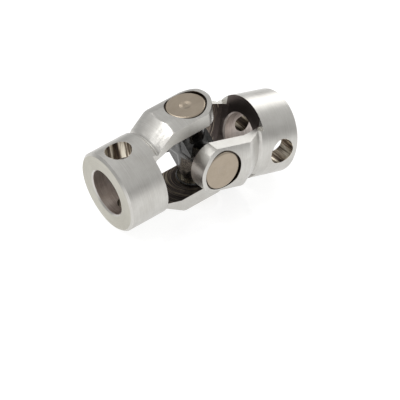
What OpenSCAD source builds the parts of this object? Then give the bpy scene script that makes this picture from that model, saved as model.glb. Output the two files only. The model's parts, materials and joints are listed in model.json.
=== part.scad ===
// Universal joint with needle bearings: two identical forked yokes at right
// angles, joined by a cross that turns in four pressed-in bearing cups.
// The joint lies bent on its two hub ends and on one ear of the input yoke.
// Each yoke is drawn along +X from the centre of the cross, ears along Z.

/* [Yoke hub] */
// Diameter of the hub
hub_d = 32; // [30:0.5:36]
// Distance from the centre of the cross to the hub's end face
hub_end = 38.8; // [37.2:0.2:50]
// Distance from the centre of the cross to the floor of the fork
fork_floor = 22.4; // [22.2:0.1:24]
// Diameter of the shaft bore
bore_d = 18; // [14:0.5:18]
// Diameter of the cross hole, a clearance for the fixing bolt
cross_hole_d = 10; // [6:0.5:10]
// Core diameter of the threaded hole opposite it
tapped_hole_d = 6.8; // [4:0.2:6.8]
// Distance from the centre of the cross to the cross hole
cross_hole_x = 31; // [29:0.5:33]

/* [Yoke ears] */
// Radius that the outside of the ears is turned to, about the shaft
ear_turned_r = 20.6; // [20.4:0.1:21]
// Distance from the centre of the cross to the flat milled on an ear
ear_out = 20.2; // [20:0.1:20.3]
// Distance from the centre of the cross to the inside of an ear
ear_in = 13.1; // [13:0.1:13.4]
// Width of an ear
ear_w = 18.2; // [17.8:0.1:20]
// Radius of an ear's tip about the pin axis
tip_r = 9.7; // [9.2:0.1:10]
// Distance from the centre of the cross to the heel, where the ear starts to slope
heel_x = 12; // [11.5:0.1:12.5]

/* [Bearings] */
// Outside diameter of a bearing cup
cup_d = 15.2; // [14.8:0.1:15.4]
// Wall thickness of a bearing cup
cup_wall = 1; // [0.8:0.1:1]
// Length of a bearing cup
cup_len = 6.5; // [6.3:0.1:6.6]
// Number of needle rollers in a cup
needles = 16; // [12:1:16]
// Diameter of a needle roller
needle_d = 2; // [1.8:0.1:2]

/* [Joint] */
// Running clearance between the rollers, the cup and the trunnion
run_gap = 0.05; // [0.03:0.01:0.06]

/* [Hidden] */
$fn = 96;

steel = [0.78, 0.77, 0.75];
cup_tan = [0.64, 0.60, 0.53];
cross_grey = [0.30, 0.30, 0.31];
needle_steel = [0.82, 0.82, 0.84];
washer_cream = [0.86, 0.83, 0.72];
seal_black = [0.05, 0.05, 0.05];
retainer_steel = [0.42, 0.41, 0.40];

// Yoke
hub_r = hub_d / 2;
hub_chamfer = 0.9;
groove_x = 20.4;
groove_w = 0.5;
groove_r = hub_r - 0.7;
groove_side = 0.7;
flare_foot_r = hub_r + 0.15;
heel_round = 0.6;
heel_drop = 0.3;
bore_chamfer = 0.6;
fork_mouth_r = 9.5;
fork_floor_half = 9.9;
fork_corner = 1.4;
taper_start = 13;
cup_gap = 0.4;
cup_gap_depth = 1.7;
past = 1;

// Bearings
cup_recess = 0.5;
cup_face = ear_out - cup_recess;
cup_rim = cup_face - cup_len;
cup_floor = 1.2;
cup_r = cup_d / 2;
cup_edge = 0.7;
dimple_r = 2.4;
dimple_floor_r = 1.1;
dimple_depth = 0.3;
race_r = cup_r - cup_wall;
pitch_r = race_r - run_gap - needle_d / 2;
trunnion_r = pitch_r - needle_d / 2 - run_gap;
washer_t = 0.5;
washer_face = cup_face - cup_floor - run_gap;
trunnion_end = washer_face - washer_t - run_gap;
needle_inset = 0.1;
needle_end = trunnion_end - needle_inset;
needle_len = 3.4;

// Cross
shoulder_r = 5.8;
seal_space = 1.4;
shoulder_end = cup_rim - seal_space;
trunnion_chamfer = 0.4;
web_reach = 10.9;
web_corner = 3;
web_inset = 0.3;
grease_r = 1.3;
retainer_t = 0.3;
retainer_r = cup_r - 0.9;
flange_r = cup_r - 0.3;
seal_edge = 0.3;
lip_gap = 0.1;

// Rest position: each shaft slopes down from the cross by this angle, so that
// the hub ends and the heel of the lower ear all lie on z = 0
rest_tilt = atan2(ear_out - hub_r, hub_end - hub_chamfer - heel_x);
centre_z = ear_out * cos(rest_tilt) + heel_x * sin(rest_tilt);

// Points of a round corner about c, from angle a0 to a1
function arc(c, r, a0, a1, n = 6) =
    [for (i = [0:n]) c + r * [cos(a0 + (a1 - a0) * i / n), sin(a0 + (a1 - a0) * i / n)]];

// Turns a profile of [x, r] points about the X axis
module turned() {
    rotate([90, 0, 90]) rotate_extrude() rotate([0, 0, 90]) mirror([0, 1]) children();
}

// Places what is drawn in a yoke's frame
module input_side() {
    translate([0, 0, centre_z]) rotate([0, -rest_tilt, 0]) rotate([0, 0, 180]) children();
}
module output_side() {
    translate([0, 0, centre_z]) rotate([0, rest_tilt, 0]) rotate([90, 0, 0]) children();
}
// The cross keeps the input yoke's ear axis as its own Z
module cross_side() {
    translate([0, 0, centre_z]) rotate([0, -rest_tilt, 0]) children();
}

// Everything the lathe leaves: hub, groove, flare and the turned outside of the ears
module turned_blank() {
    turned() polygon([
        [-tip_r - past, 0], [-tip_r - past, ear_turned_r], [heel_x - heel_round, ear_turned_r],
        [heel_x + heel_round, ear_turned_r - heel_drop],
        [groove_x - groove_w - groove_side, flare_foot_r], [groove_x - groove_w, groove_r],
        [groove_x, groove_r], [groove_x + groove_side, hub_r],
        [hub_end - hub_chamfer, hub_r], [hub_end, hub_r - hub_chamfer], [hub_end, 0]
    ]);
}

// Ears and arms seen along the pin axis, with the hub behind them
module ear_limit() {
    translate([0, 0, -ear_out]) linear_extrude(2 * ear_out) intersection() {
        union() {
            circle(r = tip_r);
            translate([0, -hub_d]) square([hub_end + past, 2 * hub_d]);
        }
        union() {
            translate([-tip_r - past, -ear_w / 2]) square([hub_end, ear_w]);
            translate([fork_floor, -hub_d]) square([hub_end, 2 * hub_d]);
        }
    }
}

// The fork's gap, which narrows towards the hub
module fork_gap() {
    slope = (ear_in - fork_floor_half) / (fork_floor - taper_start);
    corner_x = fork_floor - fork_corner;
    corner_z = fork_floor_half + slope * fork_corner;
    floor_z = fork_floor_half - fork_corner;
    rotate([90, 0, 0]) linear_extrude(2 * hub_d, center = true) polygon([
        [-tip_r - past, -ear_in], [taper_start, -ear_in], [corner_x, -corner_z],
        [fork_floor, -floor_z], [fork_floor, floor_z],
        [corner_x, corner_z], [taper_start, ear_in], [-tip_r - past, ear_in]
    ]);
}

module yoke() {
    color(steel) difference() {
        intersection() {
            turned_blank();
            ear_limit();
        }
        fork_gap();
        shaft_bore();
        translate([cross_hole_x, 0, 0]) cylinder(d = cross_hole_d, h = hub_d);
        translate([cross_hole_x, 0, -hub_d]) cylinder(d = tapped_hole_d, h = hub_d);
        translate([0, 0, -hub_d]) cylinder(d = cup_d, h = 2 * hub_d);
        for (side = [0, 180]) rotate([side, 0, 0])
            translate([0, 0, ear_out - cup_gap_depth]) cylinder(r = cup_r + cup_gap, h = hub_d);
    }
}

// Bore for the shaft, with a wide mouth at the fork and a small one at the end
module shaft_bore() {
    bore_r = bore_d / 2;
    turned() polygon([
        [fork_floor - past, 0], [fork_floor - past, fork_mouth_r + past],
        [fork_floor + fork_mouth_r - bore_r, bore_r], [hub_end - bore_chamfer, bore_r],
        [hub_end + past, bore_r + bore_chamfer + past], [hub_end + past, 0]
    ]);
}

// Drawn cup, open towards the cross, with a shallow dimple in its closed end
module cup() {
    color(cup_tan) rotate_extrude() polygon(concat(
        [[0, cup_face - cup_floor], [race_r, cup_face - cup_floor], [race_r, cup_rim], [cup_r, cup_rim]],
        arc([cup_r - cup_edge, cup_face - cup_edge], cup_edge, 0, 90),
        [[dimple_r, cup_face], [dimple_floor_r, cup_face - dimple_depth], [0, cup_face - dimple_depth]]
    ));
}

// Full complement of rollers round a trunnion
module needle_ring() {
    color(needle_steel) for (i = [0:needles - 1])
        rotate([0, 0, 360 * i / needles]) translate([pitch_r, 0, needle_end - needle_len])
            cylinder(d = needle_d, h = needle_len, $fn = 24);
}

// Disc that takes the end thrust of a trunnion
module thrust_washer() {
    color(washer_cream) translate([0, 0, washer_face - washer_t]) difference() {
        cylinder(r = race_r - lip_gap, h = washer_t);
        translate([0, 0, -past]) cylinder(r = grease_r, h = washer_t + 2 * past);
    }
}

// Rubber lip seal: one lip inside the cup, a flange in front of its rim
module seal() {
    lip_end = needle_end - needle_len - run_gap;
    lip_r = race_r - lip_gap;
    flange_start = shoulder_end + retainer_t;
    flange_end = cup_rim - run_gap;
    color(seal_black) rotate_extrude() polygon([
        [trunnion_r, flange_start], [flange_r - seal_edge, flange_start],
        [flange_r, flange_start + seal_edge], [flange_r, flange_end - seal_edge],
        [flange_r - seal_edge, flange_end], [lip_r, flange_end],
        [lip_r, lip_end - seal_edge], [lip_r - seal_edge, lip_end], [trunnion_r, lip_end]
    ]);
}

// Steel ring that backs the seal on the trunnion's shoulder
module seal_retainer() {
    color(retainer_steel) translate([0, 0, shoulder_end]) difference() {
        cylinder(r = retainer_r, h = retainer_t);
        translate([0, 0, -past]) cylinder(r = trunnion_r, h = retainer_t + 2 * past);
    }
}

// Web between the four arms of the cross
module cross_web() {
    reach = web_reach - web_corner;
    rotate([90, 0, 90]) linear_extrude(2 * (shoulder_r - web_inset), center = true) polygon([
        [reach, web_corner], [web_corner, reach], [-web_corner, reach],
        [-reach, web_corner], [-reach, -web_corner], [-web_corner, -reach],
        [web_corner, -reach], [reach, -web_corner]
    ]);
}

// Forged cross: a web with four shouldered trunnions, drilled for grease
module cross() {
    color(cross_grey) difference() {
        union() {
            cross_web();
            for (turn = [0:90:270]) rotate([turn, 0, 0]) {
                cylinder(r = shoulder_r, h = shoulder_end);
                cylinder(r = trunnion_r, h = trunnion_end - trunnion_chamfer);
                translate([0, 0, trunnion_end - trunnion_chamfer])
                    cylinder(r1 = trunnion_r, r2 = trunnion_r - trunnion_chamfer, h = trunnion_chamfer);
            }
        }
        for (turn = [0, 90]) rotate([turn, 0, 0])
            translate([0, 0, -ear_out]) cylinder(r = grease_r, h = 2 * ear_out);
    }
}

// Draws a bearing part at an ear: side 1 is the upper or front ear, -1 the other
module at_ear(side) {
    mirror([0, 0, side > 0 ? 0 : 1]) children();
}

input_side() yoke();  // input_yoke
output_side() yoke();  // output_yoke
cross_side() cross();

input_side() at_ear(1) cup();  // input_cup_upper
input_side() at_ear(-1) cup();  // input_cup_lower
output_side() at_ear(1) cup();  // output_cup_front
output_side() at_ear(-1) cup();  // output_cup_back

input_side() at_ear(1) needle_ring();  // input_needles_upper
input_side() at_ear(-1) needle_ring();  // input_needles_lower
output_side() at_ear(1) needle_ring();  // output_needles_front
output_side() at_ear(-1) needle_ring();  // output_needles_back

input_side() at_ear(1) thrust_washer();  // input_thrust_washer_upper
input_side() at_ear(-1) thrust_washer();  // input_thrust_washer_lower
output_side() at_ear(1) thrust_washer();  // output_thrust_washer_front
output_side() at_ear(-1) thrust_washer();  // output_thrust_washer_back

input_side() at_ear(1) seal();  // input_seal_upper
input_side() at_ear(-1) seal();  // input_seal_lower
output_side() at_ear(1) seal();  // output_seal_front
output_side() at_ear(-1) seal();  // output_seal_back

input_side() at_ear(1) seal_retainer();  // input_seal_retainer_upper
input_side() at_ear(-1) seal_retainer();  // input_seal_retainer_lower
output_side() at_ear(1) seal_retainer();  // output_seal_retainer_front
output_side() at_ear(-1) seal_retainer();  // output_seal_retainer_back
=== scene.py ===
import json
import math

import bmesh
import bpy
from mathutils import Euler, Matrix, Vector

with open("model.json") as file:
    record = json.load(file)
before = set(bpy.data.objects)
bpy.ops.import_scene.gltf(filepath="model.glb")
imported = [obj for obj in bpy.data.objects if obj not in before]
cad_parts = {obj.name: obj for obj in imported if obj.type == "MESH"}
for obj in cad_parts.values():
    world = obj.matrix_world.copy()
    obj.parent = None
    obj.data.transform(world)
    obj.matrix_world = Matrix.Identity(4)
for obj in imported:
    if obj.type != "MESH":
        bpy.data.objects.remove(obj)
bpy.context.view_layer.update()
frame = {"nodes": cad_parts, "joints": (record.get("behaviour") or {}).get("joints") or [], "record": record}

JOINTS = {joint["name"]: joint for joint in frame["joints"]}
MOUNTS = {mount["name"]: mount for mount in frame["record"]["mounts"]}
CENTRE = Vector(JOINTS["input_pin_swing"]["pos_m"])
EAR_AXIS = Vector(JOINTS["input_pin_swing"]["axis"])
TILT = math.atan2(-EAR_AXIS.x, EAR_AXIS.z)
MM = 0.001

# The yokes' own frames: +X from the centre of the cross out of the hub, ears along Z
YOKE_TURN = {
    "input": Euler((0, TILT, math.pi)),
    "output": Euler((math.pi / 2, TILT, 0)),
}
SIDES = {"input": ("upper", "lower"), "output": ("front", "back")}


def along_shaft(mount_name):
    """How far a mount of the input yoke is from the centre of the cross, along X, in mm."""
    place = Vector(MOUNTS[mount_name]["pos_m"]) - CENTRE
    return (YOKE_TURN["input"].to_matrix().transposed() @ place).x / MM


def radius(mount_name):
    """Radius of a mount's bore or hole, in mm."""
    return MOUNTS[mount_name]["dims"]["r_mm"]


# A yoke's zones, in millimetres in its own frame. Where a zone ends at a surface, its limit is a
# little past the surface, so that the surface is inside the zone.
SKIN = 0.1
# The fork's gap: half its width, where it begins to narrow, by how much per millimetre, its floor
# and where the scoring in it ends
GAP_HALF = 13.15
GAP_TAPER_START = 13.0
GAP_TAPER = 0.34
GAP_FLOOR = 22.45
SCORED_END = 19.5
# The bore, and its wide mouth at the fork
BORE_R = radius("input_bore") + SKIN
MOUTH_R = 9.6
# The axis of the two holes across the hub, and the holes
HOLE_X = along_shaft("input_cross_hole")
BOLT_HOLE_R = radius("input_cross_hole") + SKIN
TAPPED_HOLE_R = radius("input_tapped_hole") + SKIN
# The seats of the cups, with the narrow gap round each cup
CUP_SEAT_R = 8.05
END_FACE = along_shaft("input_end_face") - SKIN / 2

# Colours, each pair or three from the darkest marks to the lightest, and the painted shade in the gap round
# a cup's seat
STEEL = ((0.47, 0.455, 0.425), (0.63, 0.62, 0.59))
# The fork's inside: real scored marks round the pin, painted dark as shade; its floor is painted shade
SCORING_IN_PAINTED_SHADE = ((0.09, 0.075, 0.07), (0.22, 0.18, 0.165), (0.66, 0.58, 0.46))
FORK_FLOOR_PAINTED_SHADE = ((0.09, 0.075, 0.07), (0.17, 0.14, 0.13))
# Inside the bore: a browner tone, darkened as painted shade
BORE_IN_PAINTED_SHADE = ((0.36, 0.31, 0.285), (0.68, 0.62, 0.58))
# Drill marks in the holes across the hub, darkened as painted shade
DRILLED_HOLE_IN_PAINTED_SHADE = ((0.07, 0.055, 0.045), (0.22, 0.175, 0.13), (0.80, 0.74, 0.62))
CUP = ((0.35, 0.295, 0.23), (0.40, 0.34, 0.27))
ROLLER = ((0.55, 0.55, 0.57), (0.65, 0.65, 0.67))
RETAINER = ((0.55, 0.48, 0.35), (0.75, 0.68, 0.54))
FORGED = ((0.02, 0.02, 0.019), (0.07, 0.067, 0.064))
RUBBER = ((0.006, 0.006, 0.006), (0.022, 0.022, 0.02))
NYLON = ((0.62, 0.57, 0.42), (0.74, 0.70, 0.56))
# Painted shade in the narrow gap round each cup
SEAT_GAP_PAINTED_SHADE = (0.14, 0.12, 0.10)
# Tints, which multiply the colour under them
FACED_TINT = (0.80, 0.79, 0.73)
# Painted shade in the thread of the tapped hole
THREAD_PAINTED_SHADE = (0.35, 0.33, 0.31)


# Nodes

def new_material(name):
    """A material with only its Principled shader, and a function that adds nodes to it."""
    material = bpy.data.materials.new(name)
    material.use_nodes = True
    tree = material.node_tree
    shader = tree.nodes["Principled BSDF"]

    def node(kind, inputs=(), **settings):
        made = tree.nodes.new(kind)
        for key, value in settings.items():
            setattr(made, key, value)
        for key, value in dict(inputs).items():
            if isinstance(value, bpy.types.NodeSocket):
                tree.links.new(value, made.inputs[key])
            else:
                made.inputs[key].default_value = value
        return made

    return material, tree, shader, node


def math_node(node, operation, a, b=0.0):
    """The result of a Math node."""
    return node("ShaderNodeMath", {0: a, 1: b}, operation=operation).outputs[0]


def scaled(node, value, low, high):
    """value, from 0 to 1, taken to the range from low to high."""
    inputs = {"Value": value, "To Min": low, "To Max": high}
    return node("ShaderNodeMapRange", inputs).outputs["Result"]


def set_stops(color_ramp, stops):
    """Gives a new colour ramp its stops of (position, colour), from the lowest up."""
    for _ in stops[2:]:
        color_ramp.elements.new(0.5)
    for element, (position, colour) in zip(color_ramp.elements, stops):
        element.position = position
        element.color = (*colour, 1)


def ramp(node, value, positions, colours):
    """Colour from value, by one position for each colour."""
    made = node("ShaderNodeValToRGB", {"Fac": value})
    set_stops(made.color_ramp, list(zip(positions, colours)))
    return made.outputs["Color"]


def mix_colour(node, factor, a, b, blend="MIX"):
    """Colour a where factor is 0 and, where it is 1, b, or a blended with b."""
    colour_b = (*b, 1) if isinstance(b, tuple) else b
    inputs = {"Factor": factor, 6: a, 7: colour_b}
    return node("ShaderNodeMix", inputs, data_type="RGBA", blend_type=blend).outputs[2]


def less(node, a, b):
    """Mask that is 1 where a is less than b and 0 elsewhere."""
    return math_node(node, "LESS_THAN", a, b)


def both(node, a, b):
    """Mask of what is in both masks."""
    return math_node(node, "MULTIPLY", a, b)


def either(node, a, b):
    """Mask of what is in either mask."""
    return math_node(node, "MAXIMUM", a, b)


def length_of(node, a, b):
    """Length of (a, b), never quite 0."""
    squares = math_node(
        node, "ADD", math_node(node, "MULTIPLY", a, a), math_node(node, "MULTIPLY", b, b),
    )
    return math_node(node, "MAXIMUM", math_node(node, "SQRT", squares), 0.01)


def local_place(node, turn):
    """The point in millimetres in the frame that turn gives, about the centre of the cross."""
    place = node("ShaderNodeTexCoord").outputs["Object"]
    mapping = {"Vector": place, "Location": CENTRE, "Rotation": turn, "Scale": (MM, MM, MM)}
    local = node("ShaderNodeMapping", mapping, vector_type="TEXTURE").outputs["Vector"]
    return local, node("ShaderNodeSeparateXYZ", {"Vector": local}).outputs


# Marks

def ring_noise(node, along, a, b, fine_along, fine_outward, slow, detail=3.0):
    """Noise in rings about an axis, with its scales along it, outward from it and round it."""
    distance = length_of(node, a, b)
    around_a = math_node(node, "MULTIPLY", math_node(node, "DIVIDE", a, distance), slow)
    around_b = math_node(node, "MULTIPLY", math_node(node, "DIVIDE", b, distance), slow)
    coordinates = {
        "X": math_node(node, "MULTIPLY", along, fine_along),
        "Y": math_node(node, "MULTIPLY", distance, fine_outward),
        "Z": around_a,
    }
    vector = node("ShaderNodeCombineXYZ", coordinates).outputs[0]
    inputs = {"Vector": vector, "W": around_b, "Scale": 1.0, "Detail": detail, "Roughness": 0.6}
    return node("ShaderNodeTexNoise", inputs, noise_dimensions="4D").outputs["Fac"]


def cloud(node, local, per_mm, detail=4.0):
    """Cloudy noise, with its scale per millimetre."""
    inputs = {"Vector": local, "Scale": per_mm, "Detail": detail, "Roughness": 0.6}
    return node("ShaderNodeTexNoise", inputs).outputs["Fac"]


def blended(node, marks, stains, share):
    """Marks with a share of stains."""
    return math_node(node, "ADD", scaled(node, marks, 0.0, 1 - share), scaled(node, stains, 0.0, share))


def tangent_round_x(node, y, z, turn):
    """The direction of the turning marks, for the stretch of the highlights."""
    minus_z = math_node(node, "MULTIPLY", z, -1.0)
    around = node("ShaderNodeCombineXYZ", {"Y": minus_z, "Z": y}).outputs[0]
    turned = node("ShaderNodeMapping", {"Vector": around, "Rotation": turn}, vector_type="VECTOR")
    return node(
        "ShaderNodeVectorTransform", {"Vector": turned.outputs[0]},
        vector_type="VECTOR", convert_from="OBJECT", convert_to="WORLD",
    ).outputs[0]


def yoke_zones(node, x, y, z):
    """Masks of a yoke's zones by name, 1 inside and 0 outside."""
    past_taper = math_node(node, "SUBTRACT", x, GAP_TAPER_START)
    narrowed = math_node(node, "SUBTRACT", GAP_HALF, math_node(node, "MULTIPLY", past_taper, GAP_TAPER))
    gap_limit = math_node(node, "MINIMUM", narrowed, GAP_HALF)
    beside_cross = less(node, math_node(node, "ABSOLUTE", z), gap_limit)
    from_shaft = length_of(node, y, z)
    mouth = both(node, less(node, from_shaft, MOUTH_R), less(node, x, HOLE_X))
    from_hole = length_of(node, math_node(node, "SUBTRACT", x, HOLE_X), y)
    bolt_wall = both(node, less(node, from_hole, BOLT_HOLE_R), less(node, 0.0, z))
    tapped_wall = both(node, less(node, from_hole, TAPPED_HOLE_R), less(node, z, 0.0))
    return {
        "fork": both(node, beside_cross, less(node, x, GAP_FLOOR)),
        "fork_floor": less(node, SCORED_END, x),
        "bore": either(node, less(node, from_shaft, BORE_R), mouth),
        "holes": either(node, bolt_wall, tapped_wall),
        "thread": tapped_wall,
        "seat": less(node, length_of(node, x, y), CUP_SEAT_R),
        "end_face": less(node, END_FACE, x),
    }


# Materials

def add_bump(tree, shader, height, strength, distance):
    bump = tree.nodes.new("ShaderNodeBump")
    bump.inputs["Strength"].default_value = strength
    bump.inputs["Distance"].default_value = distance
    tree.links.new(height, bump.inputs["Height"])
    tree.links.new(bump.outputs["Normal"], shader.inputs["Normal"])


def finish_surface(tree, shader, colour, roughness, metallic=1.0):
    tree.links.new(colour, shader.inputs["Base Color"])
    tree.links.new(roughness, shader.inputs["Roughness"])
    shader.inputs["Metallic"].default_value = metallic


def stretch_highlights(tree, shader, tangent, amount):
    shader.inputs["Anisotropic"].default_value = amount
    tree.links.new(tangent, shader.inputs["Tangent"])


def yoke_steel(name, turn):
    """Turned stainless steel, scored round the pin, with painted shade in the fork, the bore, the holes and
    the gaps round the cups.
    """
    material, tree, shader, node = new_material(name)
    local, (x, y, z) = local_place(node, turn)
    turned = ring_noise(node, x, y, z, fine_along=5.0, fine_outward=5.0, slow=1.5)
    marks = blended(node, turned, cloud(node, local, per_mm=0.18), share=0.4)
    scored = ring_noise(node, z, x, y, fine_along=0.15, fine_outward=3.0, slow=0.8, detail=4.0)
    off_hole = math_node(node, "SUBTRACT", x, HOLE_X)
    drilled = ring_noise(node, z, off_hole, y, fine_along=0.04, fine_outward=0.0, slow=2.8)
    zone = yoke_zones(node, x, y, z)

    # Painted shade in the fork, over the scored marks round the pin and on the fork's floor
    scoring_and_painted_shade = ramp(node, scored, (0.40, 0.53, 0.62), SCORING_IN_PAINTED_SHADE)
    fork = mix_colour(node, zone["fork_floor"], scoring_and_painted_shade, ramp(node, marks, (0.3, 0.7), FORK_FLOOR_PAINTED_SHADE))
    colour = ramp(node, marks, (0.32, 0.68), STEEL)
    colour = mix_colour(node, zone["end_face"], colour, FACED_TINT, "MULTIPLY")
    colour = mix_colour(node, zone["fork"], colour, fork)
    # Painted shade in the bore and its mouth, with a browner tone
    colour = mix_colour(node, zone["bore"], colour, ramp(node, marks, (0.35, 0.65), BORE_IN_PAINTED_SHADE))
    # Painted shade in the holes across the hub, over their drill marks, and darker still in the thread
    colour = mix_colour(node, zone["holes"], colour, ramp(node, drilled, (0.38, 0.50, 0.57), DRILLED_HOLE_IN_PAINTED_SHADE))
    colour = mix_colour(node, zone["thread"], colour, THREAD_PAINTED_SHADE, "MULTIPLY")
    # Painted shade in the narrow gap round each cup
    colour = mix_colour(node, zone["seat"], colour, SEAT_GAP_PAINTED_SHADE)

    inside = either(node, zone["fork"], either(node, zone["bore"], zone["holes"]))
    satin = scaled(node, marks, 0.26, 0.40)
    roughness = math_node(node, "ADD", satin, scaled(node, inside, 0.0, 0.06))
    height = node("ShaderNodeMix", {"Factor": zone["fork"], 2: turned, 3: scored}).outputs[0]
    finish_surface(tree, shader, colour, roughness)
    add_bump(tree, shader, height, strength=0.55, distance=0.00002)
    stretch_highlights(tree, shader, tangent_round_x(node, y, z, turn), 0.5)
    return material


def turned_steel(name, turn, colours, roughness, fine, slow, bump, stretch=0.0):
    """Metal with turning marks about the local X axis and a slight mottle."""
    material, tree, shader, node = new_material(name)
    local, (x, y, z) = local_place(node, turn)
    turned = ring_noise(node, x, y, z, fine, fine, slow)
    marks = blended(node, turned, cloud(node, local, per_mm=0.4), share=0.5)
    colour = ramp(node, marks, (0.34, 0.66), colours)
    finish_surface(tree, shader, colour, scaled(node, marks, *roughness))
    add_bump(tree, shader, turned, bump, distance=0.00002)
    stretch_highlights(tree, shader, tangent_round_x(node, y, z, turn), stretch)
    return material


def forged_steel(name):
    """Blackened forged steel, wet with grease."""
    material, tree, shader, node = new_material(name)
    local, _ = local_place(node, Euler())
    forging = cloud(node, local, per_mm=0.9, detail=6.0)
    grease = cloud(node, local, per_mm=0.25, detail=3.0)
    finish_surface(tree, shader, ramp(node, forging, (0.35, 0.7), FORGED), scaled(node, grease, 0.12, 0.42))
    add_bump(tree, shader, forging, strength=0.6, distance=0.00002)
    shader.inputs["Coat Weight"].default_value = 0.3
    shader.inputs["Coat Roughness"].default_value = 0.08
    return material


def rubber(name):
    """Black moulded rubber with a film of grease."""
    material, tree, shader, node = new_material(name)
    local, _ = local_place(node, Euler())
    grain = cloud(node, local, per_mm=0.9, detail=5.0)
    colour = ramp(node, grain, (0.3, 0.7), RUBBER)
    finish_surface(tree, shader, colour, scaled(node, grain, 0.15, 0.4), metallic=0.0)
    add_bump(tree, shader, grain, strength=0.3, distance=0.00005)
    return material


def nylon(name):
    """Cream moulded nylon."""
    material, tree, shader, node = new_material(name)
    local, _ = local_place(node, Euler())
    grain = cloud(node, local, per_mm=0.6)
    colour = ramp(node, grain, (0.3, 0.7), NYLON)
    finish_surface(tree, shader, colour, scaled(node, grain, 0.4, 0.6), metallic=0.0)
    return material


def dress(node_name, material):
    """Gives a CAD node one material in place of those it has."""
    mesh = frame["nodes"][node_name].data
    mesh.materials.clear()
    mesh.materials.append(material)


for end, turn in YOKE_TURN.items():
    # The bearings' own frame has its X along the pin
    pin_turn = (turn.to_matrix() @ Euler((0, math.pi / 2, 0)).to_matrix()).to_euler()
    bearing_materials = {
        "cup": turned_steel(
            f"{end}_cup_steel", pin_turn, CUP, (0.26, 0.38), fine=5.0, slow=1.5, bump=0.25, stretch=0.3
        ),
        "needles": turned_steel(
            f"{end}_roller_steel", pin_turn, ROLLER, (0.12, 0.2), fine=3.0, slow=2.0, bump=0.1
        ),
        "seal_retainer": turned_steel(
            f"{end}_retainer_steel", pin_turn, RETAINER, (0.16, 0.28), fine=4.0, slow=2.0, bump=0.2
        ),
        "seal": rubber(f"{end}_seal_rubber"),
        "thrust_washer": nylon(f"{end}_washer_nylon"),
    }
    dress(f"{end}_yoke", yoke_steel(f"{end}_yoke_steel", turn))
    for side in SIDES[end]:
        for part, material in bearing_materials.items():
            dress(f"{end}_{part}_{side}", material)
dress("cross", forged_steel("cross_steel"))


# Edges of the larger solids, softened as deburred edges are

EDGE = 0.00022
SAME_POINT = 1e-6
FLAT_ANGLE = math.radians(0.5)
SHARP_ANGLE = math.radians(28)


def soften_edges(obj):
    weld = obj.modifiers.new("weld", "WELD")
    weld.merge_threshold = SAME_POINT
    flats = obj.modifiers.new("flats", "DECIMATE")
    flats.decimate_type = "DISSOLVE"
    flats.angle_limit = FLAT_ANGLE
    bevel = obj.modifiers.new("bevel", "BEVEL")
    bevel.width = EDGE
    bevel.segments = 2
    bevel.limit_method = "ANGLE"
    bevel.angle_limit = SHARP_ANGLE
    bevel.use_clamp_overlap = True
    even = obj.modifiers.new("even", "WEIGHTED_NORMAL")
    even.mode = "FACE_AREA_WITH_ANGLE"
    even.weight = 70


for node_name in ("input_yoke", "output_yoke", "cross"):
    soften_edges(frame["nodes"][node_name])


# Stage

FLOOR_HALF = 3.0
# Width of the camera's sensor, in millimetres
SENSOR_WIDTH = 36
# Brightness of the studio by height, from 0 straight down to 1 straight up
SKY = ((0.0, 0.9), (0.50, 0.9), (0.52, 0.40), (0.66, 0.50), (0.76, 0.78), (0.84, 0.68), (0.95, 0.72))


def add_floor():
    mesh = bpy.data.meshes.new("floor")
    shape = bmesh.new()
    bmesh.ops.create_grid(shape, x_segments=1, y_segments=1, size=FLOOR_HALF)
    shape.to_mesh(mesh)
    shape.free()
    floor = bpy.data.objects.new("floor", mesh)
    bpy.context.scene.collection.objects.link(floor)
    material, tree, shader, node = new_material("floor_white")
    place = node("ShaderNodeTexCoord").outputs["Object"]
    grain = node("ShaderNodeTexNoise", {"Vector": place, "Scale": 40.0}).outputs["Fac"]
    tree.links.new(scaled(node, grain, 0.04, 0.07), shader.inputs["Roughness"])
    shader.inputs["Base Color"].default_value = (0.30, 0.30, 0.30, 1)
    shader.inputs["Emission Color"].default_value = (1, 1, 1, 1)
    shader.inputs["Emission Strength"].default_value = 0.80
    mesh.materials.append(material)


def aimed(obj, place, aim):
    """Puts an object at a place, looking at another, and adds it to the scene."""
    obj.location = place
    obj.rotation_mode = "QUATERNION"
    obj.rotation_quaternion = (Vector(aim) - Vector(place)).to_track_quat("-Z", "Y")
    bpy.context.scene.collection.objects.link(obj)


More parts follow.
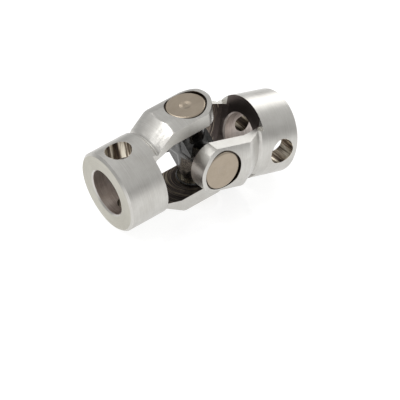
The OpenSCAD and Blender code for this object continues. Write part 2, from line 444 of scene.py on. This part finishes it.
def add_light(name, place, size, power):
    data = bpy.data.lights.new(name, "AREA")
    data.shape = "RECTANGLE"
    data.size, data.size_y = size
    data.energy = power
    aimed(bpy.data.objects.new(name, data), place, CENTRE)


def add_camera(azimuth, elevation, roll, aim, distance, lens):
    data = bpy.data.cameras.new("camera")
    data.lens = lens
    data.sensor_width = SENSOR_WIDTH
    data.clip_start, data.clip_end = 0.01, 20
    camera = bpy.data.objects.new("camera", data)
    turn, rise = math.radians(azimuth), math.radians(elevation)
    back = Vector((math.sin(turn) * math.cos(rise), -math.cos(turn) * math.cos(rise), math.sin(rise)))
    aimed(camera, aim + back * distance, aim)
    camera.rotation_quaternion @= Euler((0, 0, math.radians(roll))).to_quaternion()
    bpy.context.scene.camera = camera


def add_world():
    """A studio that is bright overhead and darker towards the horizon."""
    world = bpy.data.worlds.new("studio")
    bpy.context.scene.world = world
    world.use_nodes = True
    tree = world.node_tree
    direction = tree.nodes.new("ShaderNodeTexCoord")
    axes = tree.nodes.new("ShaderNodeSeparateXYZ")
    height = tree.nodes.new("ShaderNodeMapRange")
    height.inputs["From Min"].default_value = -1
    sky = tree.nodes.new("ShaderNodeValToRGB")
    set_stops(sky.color_ramp, [(position, (level,) * 3) for position, level in SKY])
    tree.links.new(direction.outputs["Generated"], axes.inputs[0])
    tree.links.new(axes.outputs["Z"], height.inputs["Value"])
    tree.links.new(height.outputs["Result"], sky.inputs["Fac"])
    tree.links.new(sky.outputs["Color"], tree.nodes["Background"].inputs["Color"])


add_floor()
add_world()
add_light("key", place=(-0.25, 0.15, 0.55), size=(0.5, 0.3), power=1.6)
add_light("fill", place=(-0.5, -0.5, 0.25), size=(0.3, 0.3), power=0.3)
add_light("rim", place=(0.45, 0.25, 0.35), size=(0.3, 0.4), power=0.7)
add_camera(
    azimuth=-37.1, elevation=34.2, roll=1.5,
    aim=CENTRE + Vector((-0.0037, -0.0111, -0.0163)), distance=0.9524, lens=230.7,
)
bpy.context.scene.view_settings.view_transform = "Standard"
